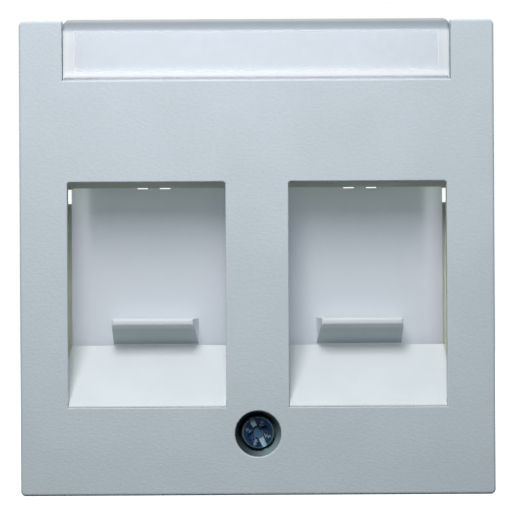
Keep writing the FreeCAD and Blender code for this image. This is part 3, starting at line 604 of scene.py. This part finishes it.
def window_finish(look):
    """Milky pane with a gloss; its paler side and lower edges are a painted highlight and its greyer upper
    edge a painted shade, both standing in for light that the clear plastic refracts.

    It is clear for light on its way from a lamp, so it throws no shade on the paper strip. Its side and
    lower edges lean to the light, and its underside is lit through, as the edges of clear plastic are.
    """
    material, tree, shader = new_finish("clear_window_plastic")
    where = position(tree)
    x, y, z = axes_of(tree, where)
    across = unsigned(tree, x)
    haze = grain(tree, where, look.haze, detail=3.0)
    _, front, low = WINDOW_LOW
    high = WINDOW_HIGH[2]
    skin = spread(tree, y, front + look.skin_end, front + look.skin)

    # Painted highlight: the side and lower edges are opaque and pale.
    inner = WINDOW_HALF_WIDTH - look.rim_width
    side = spread(tree, across, inner, inner + look.rim_blend)
    outward = spread(tree, across, inner, WINDOW_HALF_WIDTH - look.foot_width / 2)
    foot = spread(tree, z, low + look.foot_width + look.rim_blend, low + look.foot_width)
    rim = times(tree, skin, combine(tree, "MAXIMUM", side, foot))
    rim_colour = blend(tree, foot, blend(tree, outward, look.rim_inner, look.rim), look.foot)

    # Painted shade in the greyer upper edge, with a painted highlight in its rounding.
    brow = high - look.crest_width
    crest = times(tree, skin, spread(tree, z, brow, brow + look.crest_blend))
    greyer = spread(tree, z, brow, high - look.skin)
    rounding = spread(tree, z, high - look.skin, high - look.crest_round)
    crest_colour = blend(tree, rounding, blend(tree, greyer, look.crest_foot, look.crest), look.crest_top)

    milky = spread(tree, rim, 0.0, 1.0, look.pane_milk, look.rim_milk)
    milky = combine(tree, "MAXIMUM", milky, times(tree, crest, look.crest_milk))
    milky = combine(tree, "ADD", milky, spread(tree, haze, *HAZE_NOISE, 0.0, look.haze_milk))
    seen = rest_of(tree, output_of(tree, "LightPath", output="Is Shadow Ray"))

    facing = output_of(tree, "NewGeometry", output="Normal")
    lit_rim = times(tree, rim, rest_of(tree, crest))
    lean = {0: look.edge_lean, 1: lit_rim, 2: facing}
    leaning = output_of(tree, "VectorMath", lean, operation="MULTIPLY_ADD")
    inputs = {
        "Base Color": blend(tree, crest, blend(tree, rim, look.milk, rim_colour), crest_colour),
        "Roughness": spread(tree, haze, *NOISE_MIDDLE, *look.window_roughness),
        "Specular IOR Level": 0.0,
        "Normal": output_of(tree, "VectorMath", {0: leaning}, operation="NORMALIZE"),
    }
    set_inputs(tree, shader, inputs)
    downward = spread(tree, axes_of(tree, facing)[2], *FACING_DOWN)
    lit_through = output_of(tree, "BsdfTranslucent", {"Color": opaque(look.foot)})
    milk = mix_shaders(tree, times(tree, downward, foot), shader.outputs[0], lit_through)
    clear = output_of(tree, "BsdfTransparent", {"Color": opaque(look.window)})
    pane = mix_shaders(tree, times(tree, milky, seen), clear, milk)
    gloss = output_of(tree, "BsdfGlossy", {"Roughness": look.gloss_roughness})
    glancing = output_of(tree, "Fresnel", {"IOR": look.gloss_index})
    glossy = times(tree, glancing, times(tree, seen, skin))
    set_surface(tree, mix_shaders(tree, glossy, pane, gloss))
    return material


def paper_finish(look):
    """White paper with short fibres that lie along the strip, made paler along its foot by painted light."""
    material, tree, shader = new_finish("label_strip_paper")
    where = position(tree)
    stretched = position(tree, stretch=(look.fibre_width / look.fibre_length, 1.0, 1.0))
    fibres = grain(tree, stretched, look.fibre_width, detail=3.0)
    cloud = grain(tree, where, look.cloud, detail=3.0)
    mixed = times(tree, spread(tree, fibres, *FIBRE_NOISE), spread(tree, cloud, *NOISE_MEDIUM))
    foot = STRIP_LOW[2]
    foot_light = spread(tree, axes_of(tree, where)[2], foot + look.foot_light_width, foot + look.foot_light_width / 4)
    inputs = {
        "Base Color": blend(tree, foot_light, blend(tree, mixed, look.paper, look.fibre), look.paper_foot_light),
        "Roughness": spread(tree, fibres, *NOISE_WIDE, *look.paper_roughness),
        "Specular IOR Level": look.paper_specular,
        "Normal": bump(tree, fibres, look.fibre_height, look.fibre_share),
    }
    set_inputs(tree, shader, inputs)
    return material


def screw_finish(look):
    """Blue plating with rings left by turning; mesh attributes say where it is dark (painted dark reflection
    and shade), violet, or bright (the paler shank and painted glints and reflections).
    """
    material, tree, shader = new_finish("blue_plated_steel")
    where = position(tree, middle=screw_middle())
    x, _, z = axes_of(tree, where)
    ring_inputs = {
        "Vector": output_of(tree, "CombineXYZ", {"X": x, "Y": z}),
        "Scale": WAVE_SPACING / look.turning,
        "Distortion": look.turning_wobble,
        "Detail": 1.0,
    }
    rings = output_of(tree, "TexWave", ring_inputs, "Fac", wave_type="RINGS", rings_direction="Z")
    stain = grain(tree, where, look.stain, detail=3.0)
    tarnish, wing, burnish = (
        output_of(tree, "Attribute", output="Fac", attribute_name=name) for name in SCREW_MARKS
    )
    mottled = times(tree, tarnish, spread(tree, stain, *STAIN_NOISE, *look.stain_share))
    plating = blend(tree, wing, blend(tree, mottled, look.steel, look.tarnish), look.wing)
    dullness = spread(tree, stain, *NOISE_WIDE, *look.roughness)
    rubbed_dullness = spread(tree, burnish, 0.0, 1.0, 0.0, look.burnish_roughness)
    inputs = {
        "Base Color": blend(tree, burnish, plating, look.burnish),
        "Roughness": combine(tree, "ADD", dullness, rubbed_dullness),
        "Metallic": spread(tree, burnish, look.shank_burnish, 1.0, look.metal, 0.0),
        "Specular IOR Level": look.specular,
        "Normal": bump(tree, rings, look.turning_height, look.turning_share),
    }
    set_inputs(tree, shader, inputs)
    return material


SCREW_MARKS = ("tarnish", "wing", "burnish")

# Columns round the screw, and rows along its profile.
SCREW_COLUMNS = 192
TOP_ROWS = 90
RIM_ROWS = 8
SIDE_ROWS = 4
UNDERSIDE_ROWS = 5
SHANK_ROWS = 8
ROWS_PER_TURN = 12
TIP_ROWS = 6

# Jagged width of the notches, its loss outwards and the steepness of their walls.
JAG_MEAN = 0.8
JAG_SWING = 0.35
NOTCH_TAPER = 0.6
NOTCH_STEEPNESS = 2.0

# Shares of the thread's wave that lie under its root and along its flanks.
ROOT_SHARE = 0.1
FLANK_SHARE = 0.75

# Painted glints in the notches, brighter in the lower ones that face the light, and the depth over which they
# set in.
GLINT_SHARE = 0.9
GLINT_TILT = 0.25
GLINT_DEPTH = (0.03, 0.25)

# Painted reflection on the slot's floor, painted highlight on the rim and painted sheen on the socket; the
# share of brightness left in the thread's roots, and their painted shade.
SLOT_REFLECTION = 0.55
RIM_HIGHLIGHT = 0.2
SOCKET_SHEEN = 0.62
ROOT_LIGHT_SHARE = 0.5
ROOT_SHADE = 0.6


def screw_middle():
    """The point of the screw's axis at the rear rim of the plate."""
    across, _, up = ((low + high) / 2 for low, high in zip(SCREW_LOW, SCREW_HIGH))
    return (across, PLATE_HIGH[1], up)


def ramp_up(value, low, high):
    """0 below low, 1 above high, and a smooth S between them."""
    t = np.clip((value - low) / (high - low), 0.0, 1.0)
    return t * t * (3.0 - 2.0 * t)


def steps(start, end, count):
    """Evenly spaced values that follow start and reach end."""
    return np.linspace(start, end, count + 1)[1:]


def drive_cuts(across, up, look):
    """Depth of the drive at points of the head's plane, and its three finish marks.

    Each cut is a floor depth times a wall that falls smoothly over the wall slope, and the deepest cut
    counts: a slot over the whole head, two pairs of round-ended wings whose floors rise with distance from
    the middle, a round socket where they meet, and four jagged notches at 45 degrees to them that get
    narrower and shallower outwards. The slot's floor carries a painted reflection and the notches painted
    glints, the wings are violet and the rest is dark, a painted dark reflection.
    """
    turn = look.drive_angle
    along = up * math.cos(turn) - across * math.sin(turn)
    aside = across * math.cos(turn) + up * math.sin(turn)
    away = np.hypot(along, aside)

    def wall(distance, half_width):
        return 1.0 - ramp_up(distance, half_width - look.wall_slope, half_width)

    def wing(length_wise, width_wise):
        half = look.cross_width / 2
        past = np.maximum(np.abs(length_wise) - (look.cross_reach / 2 - half), 0.0)
        return wall(np.hypot(past, width_wise), half)

    slot = look.slot_depth * wall(np.abs(aside), look.slot_width / 2)
    wings = np.maximum(wing(along, aside), wing(aside, along))
    floor = look.cross_depth - look.wing_rise * np.clip(2.0 * away / look.cross_reach, 0.0, 1.0)
    socket = wall(away, look.socket / 2)
    cross = np.maximum(floor * wings, look.cross_depth * socket)
    outward = np.clip((away - look.tick_start) / (look.tick_end - look.tick_start), 0.0, 1.0)
    diagonal = np.abs(np.abs(along) - np.abs(aside)) * math.sqrt(0.5)
    jags = JAG_MEAN + JAG_SWING * np.sin(2 * math.pi * away / look.tick_jag)
    half_notch = jags * (1.0 - NOTCH_TAPER * outward) * look.tick_width / 2
    inner = ramp_up(away, look.tick_start - look.wall_slope, look.tick_start)
    notch = np.clip(NOTCH_STEEPNESS * (1.0 - diagonal / half_notch), 0.0, 1.0) * (1.0 - outward) * inner
    depth = np.maximum.reduce([slot, cross, look.tick_depth * notch])

    below = ramp_up(cross - slot, -look.wall_slope, look.wall_slope / 2)
    rim = ramp_up(away, HEAD_RADIUS - look.rim_round, HEAD_RADIUS - look.rim_round / 2)
    open_slot = ramp_up(slot, 0.5 * look.slot_depth, look.slot_depth) * (1.0 - below)
    # Painted glints: the lower notches, whose walls face the light, are brighter.
    lower = np.clip(GLINT_SHARE - GLINT_TILT * up / np.maximum(away, look.wall_slope), 0.0, 1.0)
    glinting = lower * ramp_up(notch, *GLINT_DEPTH) * (1.0 - below)
    beside_slot = ramp_up(np.abs(aside), look.slot_width / 2, look.slot_width / 2 + look.wall_slope)
    # Painted light on the head: a dark reflection but for the socket and the slot's floor, and painted
    # glints, reflection and highlight where it is bright.
    marks = {
        "tarnish": 1.0 - np.maximum(SOCKET_SHEEN * socket, open_slot),
        "wing": wings * (1.0 - socket) * beside_slot,
        "burnish": np.maximum.reduce([SLOT_REFLECTION * open_slot, glinting, RIM_HIGHLIGHT * rim]),
    }
    return depth, marks


def screw_surface(look):
    """Radius and place along the axis of the screw on a grid of profile rows and turns, and its marks.

    The profile runs from the middle of the head's top over the rim, down to the shank and along the thread
    to the tip. On the top, the drive's depth is added along the axis. On the thread, the radius is the root
    plus the thread depth times a flat-topped triangle wave of (place / pitch + turn), which makes a
    right-hand helix, and the tip bevel bounds it.
    """
    top, tip = SCREW_LOW[1], SCREW_HIGH[1]
    under = top + look.head_height
    start = tip - look.thread_length
    turns = np.arange(SCREW_COLUMNS) / SCREW_COLUMNS
    flat = HEAD_RADIUS - look.rim_round
    arc = steps(0.0, math.pi / 2, RIM_ROWS)
    thread_rows = int(round((tip - start) / look.pitch * ROWS_PER_TURN))
    threaded = steps(start, tip, thread_rows - 1)
    tip_flat = steps(look.thread / 2 - look.tip_bevel, 0.0, TIP_ROWS + 1)[:-1]
    sections = [
        (steps(0.0, flat, TOP_ROWS), np.full(TOP_ROWS, top)),
        (flat + look.rim_round * np.sin(arc), top + look.rim_round * (1.0 - np.cos(arc))),
        (np.full(SIDE_ROWS, HEAD_RADIUS), steps(top + look.rim_round, under, SIDE_ROWS)),
        (steps(HEAD_RADIUS, look.shank / 2, UNDERSIDE_ROWS), np.full(UNDERSIDE_ROWS, under)),
        (np.full(SHANK_ROWS, look.shank / 2), steps(under, start, SHANK_ROWS)),
        (np.full(len(threaded), look.thread / 2), threaded),
        (tip_flat, np.full(TIP_ROWS, tip)),
    ]
    profile = np.concatenate(sections, axis=1)
    radius, place = np.repeat(profile[:, :, None], SCREW_COLUMNS, axis=2)
    marks = {name: np.zeros_like(radius) for name in SCREW_MARKS}

    on_head = slice(0, TOP_ROWS + RIM_ROWS)
    across = radius[on_head] * np.cos(2 * math.pi * turns)
    up = radius[on_head] * np.sin(2 * math.pi * turns)
    depth, head_marks = drive_cuts(across, up, look)
    place[on_head] += np.maximum(depth - (place[on_head] - top), 0.0)
    for name, values in head_marks.items():
        marks[name][on_head] = values
    marks["burnish"][on_head.stop:] = look.shank_burnish

    first = len(radius) - TIP_ROWS - len(threaded)
    on_thread = slice(first, first + len(threaded))
    phase = np.mod(place[on_thread] / look.pitch + turns[None, :], 1.0)
    ridge = np.clip((1.0 - np.abs(2.0 * phase - 1.0) - ROOT_SHARE) / FLANK_SHARE, 0.0, 1.0)
    run_in = ramp_up(place[on_thread], start, start + look.pitch)
    root = look.thread / 2 - look.thread_depth
    cut_thread = root + look.thread_depth * ridge
    shaped = look.shank / 2 + run_in * (cut_thread - look.shank / 2)
    bevel = look.thread / 2 - look.tip_bevel + (tip - place[on_thread])
    radius[on_thread] = np.minimum(shaped, bevel)
    # Painted shade in the thread's roots, which are darker and less bright than its crests.
    marks["tarnish"][on_thread] = ROOT_SHADE * run_in * (1.0 - ridge)
    marks["burnish"][on_thread] = look.shank_burnish * (ROOT_LIGHT_SHARE + (1.0 - ROOT_LIGHT_SHARE) * ridge)
    return radius, place, turns, marks


def turned_mesh(name, radius, place, turns, middle):
    """A closed mesh of revolution about an axis along Y: rings of the grid, with a point at each end."""
    across = middle[0] + radius * np.cos(2 * math.pi * turns)
    up = middle[2] + radius * np.sin(2 * math.pi * turns)
    rings = np.stack([across, place, up], axis=-1).reshape(-1, 3)
    ends = [(middle[0], row.mean(), middle[2]) for row in (place[0], place[-1])]
    points = np.concatenate([rings, ends])
    here = np.arange(radius.size).reshape(radius.shape)
    beside = np.roll(here, -1, axis=1)
    quads = np.stack([here[:-1], here[1:], beside[1:], beside[:-1]], axis=-1).reshape(-1, 4)
    end = np.full_like(here[0], radius.size)
    first_cap = np.stack([end, here[0], beside[0]], axis=-1)
    last_cap = np.stack([here[-1], end + 1, beside[-1]], axis=-1)
    faces = [face for part in (quads, first_cap, last_cap) for face in part.tolist()]
    mesh = bpy.data.meshes.new(name)
    mesh.from_pydata(points.tolist(), [], faces)
    mesh.validate()
    mesh.polygons.foreach_set("use_smooth", np.ones(len(mesh.polygons), dtype=bool))
    return mesh


def show(piece):
    """Puts a piece into the scene's collection."""
    bpy.context.scene.collection.objects.link(piece)
    return piece


class WALLPLATE_OT_paint_plate(bpy.types.Operator):
    """Paint the face plate"""

    bl_idname = "wall_plate.paint_plate"
    bl_label = "Paint Face Plate"

    def execute(self, context):
        give("face_plate", plate_finish(context.scene.wall_plate_paint))
        return {"FINISHED"}


class WALLPLATE_OT_finish_mouldings(bpy.types.Operator):
    """Finish the shutter carrier and both shutters"""

    bl_idname = "wall_plate.finish_mouldings"
    bl_label = "Finish Carrier and Shutters"

    def execute(self, context):
        look = context.scene.wall_plate_mouldings
        give("shutter_carrier", carrier_finish(look))
        shutter = shutter_finish(look)
        give("left_shutter", shutter)
        give("right_shutter", shutter)
        return {"FINISHED"}


class WALLPLATE_OT_finish_label(bpy.types.Operator):
    """Finish the label window and the paper strip under it"""

    bl_idname = "wall_plate.finish_label"
    bl_label = "Finish Label"

    def execute(self, context):
        look = context.scene.wall_plate_label
        give("label_window", window_finish(look))
        give("label_strip", paper_finish(look))
        return {"FINISHED"}


class WALLPLATE_OT_cut_screw(bpy.types.Operator):
    """Make the fixing screw with its thread and its drive cut in"""

    bl_idname = "wall_plate.cut_screw"
    bl_label = "Cut Fixing Screw"

    def execute(self, context):
        look = context.scene.wall_plate_screw
        radius, place, turns, marks = screw_surface(look)
        mesh = turned_mesh("threaded_fixing_screw", radius, place, turns, screw_middle())
        for name, values in marks.items():
            attribute = mesh.attributes.new(name, "FLOAT", "POINT")
            ends = [values[0].mean(), values[-1].mean()]
            attribute.data.foreach_set("value", np.append(values.ravel(), ends).astype(np.float32))
        mesh.materials.append(screw_finish(look))
        screw = show(bpy.data.objects.new("threaded_fixing_screw", mesh))
        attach(screw, "plate")
        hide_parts("fixing_screw")
        return {"FINISHED"}


def floor_finish(look):
    """Pale floor with a faint mottle that is clear from below, so that it hides nothing."""
    material, tree, shader = new_finish("pale_studio_floor")
    mottle = grain(tree, position(tree), look.floor_mottle)
    inputs = {
        "Base Color": blend(tree, mottle, look.floor, look.floor_paler),
        "Roughness": look.floor_roughness,
        "Specular IOR Level": look.floor_specular,
        "Emission Color": (1.0, 1.0, 1.0, 1.0),
        "Emission Strength": look.floor_glow,
    }
    set_inputs(tree, shader, inputs)
    below = output_of(tree, "NewGeometry", output="Backfacing")
    clear = output_of(tree, "BsdfTransparent")
    set_surface(tree, mix_shaders(tree, below, shader.outputs[0], clear))
    return material


def studio_world(look):
    """White where the camera looks, and a soft sky, horizon, ground and backdrop as light."""
    world = bpy.data.worlds.new("studio_world")
    world.use_nodes = True
    tree = world.node_tree
    _, y, z = axes_of(tree, output_of(tree, "TexCoord", output="Generated"))
    upper = spread(tree, z, 0.0, 1.0, look.horizon, look.sky)
    lower = spread(tree, z, -1.0, 0.0, look.ground - look.horizon, 0.0)
    behind = spread(tree, y, *FACING_BACKDROP, 0.0, look.backdrop)
    total = combine(tree, "ADD", behind, combine(tree, "ADD", upper, lower))
    soft = output_of(tree, "Background", {"Color": opaque(look.ambient), "Strength": total})
    white = output_of(tree, "Background", {"Color": (1.0, 1.0, 1.0, 1.0), "Strength": 1.0})
    seen = output_of(tree, "LightPath", output="Is Camera Ray")
    tree.links.new(mix_shaders(tree, seen, soft, white), tree.nodes["World Output"].inputs["Surface"])
    return world


def key_light(look, target):
    """A soft panel above and in front of a target, turned to it."""
    lamp = bpy.data.lights.new("key_light", "AREA")
    lamp.energy = look.key_power
    lamp.color = look.key_tint
    lamp.shape = "RECTANGLE"
    lamp.size = look.key_width
    lamp.size_y = look.key_height
    holder = show(bpy.data.objects.new("key_light", lamp))
    holder.location = (target[0] + look.key_side, target[1] - look.key_front, target[2] + look.key_rise)
    holder.visible_camera = False
    holder.visible_glossy = False
    holder.rotation_mode = "QUATERNION"
    holder.rotation_quaternion = (Vector(target) - holder.location).to_track_quat("-Z", "Y")


def photo_camera(look, target):
    """A camera in front of a target and below it, with its frame shifted up."""
    lens = bpy.data.cameras.new("photo_camera")
    lens.lens = look.lens
    lens.shift_y = look.shift
    lens.clip_start = look.camera_clip
    camera = show(bpy.data.objects.new("photo_camera", lens))
    camera.location = (target[0], target[1] - look.distance, target[2] - look.camera_drop)
    camera.rotation_euler = (math.pi / 2, look.roll, 0.0)
    return camera


class WALLPLATE_OT_set_studio(bpy.types.Operator):
    """Set the floor, the light and the camera"""

    bl_idname = "wall_plate.set_studio"
    bl_label = "Set Studio"

    def execute(self, context):
        scene = context.scene
        look = scene.wall_plate_studio
        half = look.floor_size / 2
        level = PLATE_LOW[2]
        sheet = bpy.data.meshes.new("studio_floor")
        sides = ((-half, -half), (half, -half), (half, half), (-half, half))
        sheet.from_pydata([(x, y, level) for x, y in sides], [], [(0, 1, 2, 3)])
        sheet.materials.append(floor_finish(look))
        floor = show(bpy.data.objects.new("studio_floor", sheet))
        floor.visible_diffuse = False
        floor.visible_glossy = False
        floor.visible_transmission = False

        scene.world = studio_world(look)
        scene.view_settings.view_transform = "Standard"
        middle = ((PLATE_LOW[0] + PLATE_HIGH[0]) / 2, PLATE_LOW[1], (PLATE_LOW[2] + PLATE_HIGH[2]) / 2)
        key_light(look, middle)
        scene.camera = photo_camera(look, middle)
        return {"FINISHED"}


class WALLPLATE_PT_sidebar(bpy.types.Panel):
    """Lists the steps that dress the wall plate"""

    bl_label = "Wall Plate"
    bl_idname = "WALLPLATE_PT_sidebar"
    bl_space_type = "VIEW_3D"
    bl_region_type = "UI"
    bl_category = "Wall Plate"

    def draw(self, context):
        for step in STEPS:
            self.layout.operator(step.bl_idname)
        for settings in SETTINGS:
            group = getattr(context.scene, settings)
            box = self.layout.box()
            for name in group.bl_rna.properties.keys():
                if name not in {"rna_type", "name"}:
                    box.prop(group, name)


SETTINGS = {
    "wall_plate_paint": PlatePaintSettings,
    "wall_plate_mouldings": MouldingSettings,
    "wall_plate_label": LabelSettings,
    "wall_plate_screw": ScrewSettings,
    "wall_plate_studio": StudioSettings,
}
STEPS = (
    WALLPLATE_OT_paint_plate,
    WALLPLATE_OT_finish_mouldings,
    WALLPLATE_OT_finish_label,
    WALLPLATE_OT_cut_screw,
    WALLPLATE_OT_set_studio,
)


def register():
    """Registers the settings, the steps and the panel."""
    for name, settings in SETTINGS.items():
        bpy.utils.register_class(settings)
        setattr(bpy.types.Scene, name, bpy.props.PointerProperty(type=settings))
    for step in STEPS:
        bpy.utils.register_class(step)
    bpy.utils.register_class(WALLPLATE_PT_sidebar)


def unregister():
    """Takes the panel, the steps and the settings out again."""
    bpy.utils.unregister_class(WALLPLATE_PT_sidebar)
    for step in reversed(STEPS):
        bpy.utils.unregister_class(step)
    for name, settings in SETTINGS.items():
        delattr(bpy.types.Scene, name)
        bpy.utils.unregister_class(settings)


def main():
    register()
    bpy.ops.wall_plate.paint_plate()
    bpy.ops.wall_plate.finish_mouldings()
    bpy.ops.wall_plate.finish_label()
    bpy.ops.wall_plate.cut_screw()
    bpy.ops.wall_plate.set_studio()


if __name__ == "__main__":
    main()
